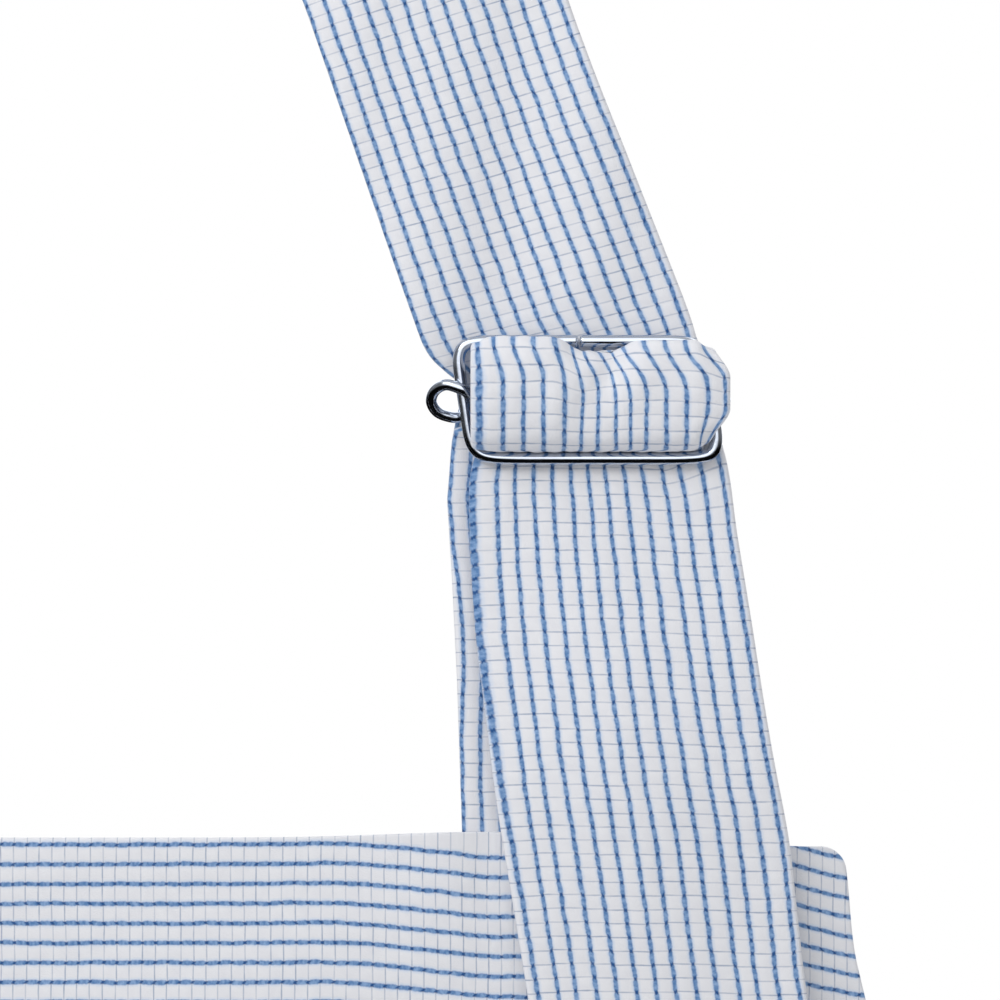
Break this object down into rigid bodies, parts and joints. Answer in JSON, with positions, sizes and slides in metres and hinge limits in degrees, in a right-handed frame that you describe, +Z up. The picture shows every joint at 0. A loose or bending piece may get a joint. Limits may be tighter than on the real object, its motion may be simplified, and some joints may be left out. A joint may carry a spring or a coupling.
{
  "type": "butcher apron",
  "caption": "Striped cotton bib apron on an adjustable neck strap with a chromed wire slide buckle, a loose strap end and two waist ties.",
  "frame": {"origin": "inner face of the top of the neck loop, where a peg or hook carries the apron", "axes": "+Z up, -Y out of the apron's front towards a person who faces it, +X to that person's right; the buckle is on +X"},
  "size_m": [0.7548, 0.0401, 1.4482],
  "materials": {
    "striped_cotton": "puffy woven cotton, off-white with fine blue stripes",
    "chromed_wire": "bright chromed round wire",
    "white_thread": "white sewing thread"
  },
  "bodies": {
    "apron": {"apron_panel": "striped_cotton", "neck_strap": "striped_cotton", "strap_tab": "striped_cotton", "hem_stitch_top": "white_thread", "hem_stitch_bottom": "white_thread", "hem_stitch_left": "white_thread", "hem_stitch_right": "white_thread", "neck_strap_stitch": "white_thread", "strap_tab_stitch": "white_thread", "tab_loop_stitch": "white_thread", "tie_tack_left": "white_thread", "tie_tack_right": "white_thread"},
    "buckle_bar": {"slider_bar": "chromed_wire", "strap_roll": "striped_cotton", "strap_tail_upper": "striped_cotton"},
    "buckle_frame": {"slider_frame": "chromed_wire"},
    "strap_end": {"strap_tail_end": "striped_cotton", "tail_hem_stitch": "white_thread"},
    "tie_left": {"waist_tie_left": "striped_cotton"},
    "tie_right": {"waist_tie_right": "striped_cotton"}
  },
  "joints": [
    {"name": "buckle_tilt", "type": "hinge", "parent": "apron", "child": "buckle_bar", "pos_m": [0.1, 0, -0.23677], "axis": [1, 0, 0], "range_deg": [-20, 0], "deforming": ["strap_roll", "strap_tail_upper"]},
    {"name": "frame_slide", "type": "slide", "parent": "buckle_bar", "child": "buckle_frame", "axis": [-0.1474, 0, 0.9891], "range_m": [-0.002, 0.002], "deforming": ["strap_roll"]},
    {"name": "strap_draw", "type": "slide", "parent": "buckle_bar", "child": "strap_end", "axis": [0.1348, 0, -0.9909], "range_m": [-0.045, 0.1], "deforming": ["strap_tail_upper", "strap_roll"]},
    {"name": "tie_swing_left", "type": "hinge", "parent": "apron", "child": "tie_left", "pos_m": [-0.321, 0.003, -0.61677], "axis": [0, 1, 0], "range_deg": [0, 90]},
    {"name": "tie_swing_right", "type": "hinge", "parent": "apron", "child": "tie_right", "pos_m": [0.321, 0.003, -0.61677], "axis": [0, -1, 0], "range_deg": [0, 90]}
  ]
}
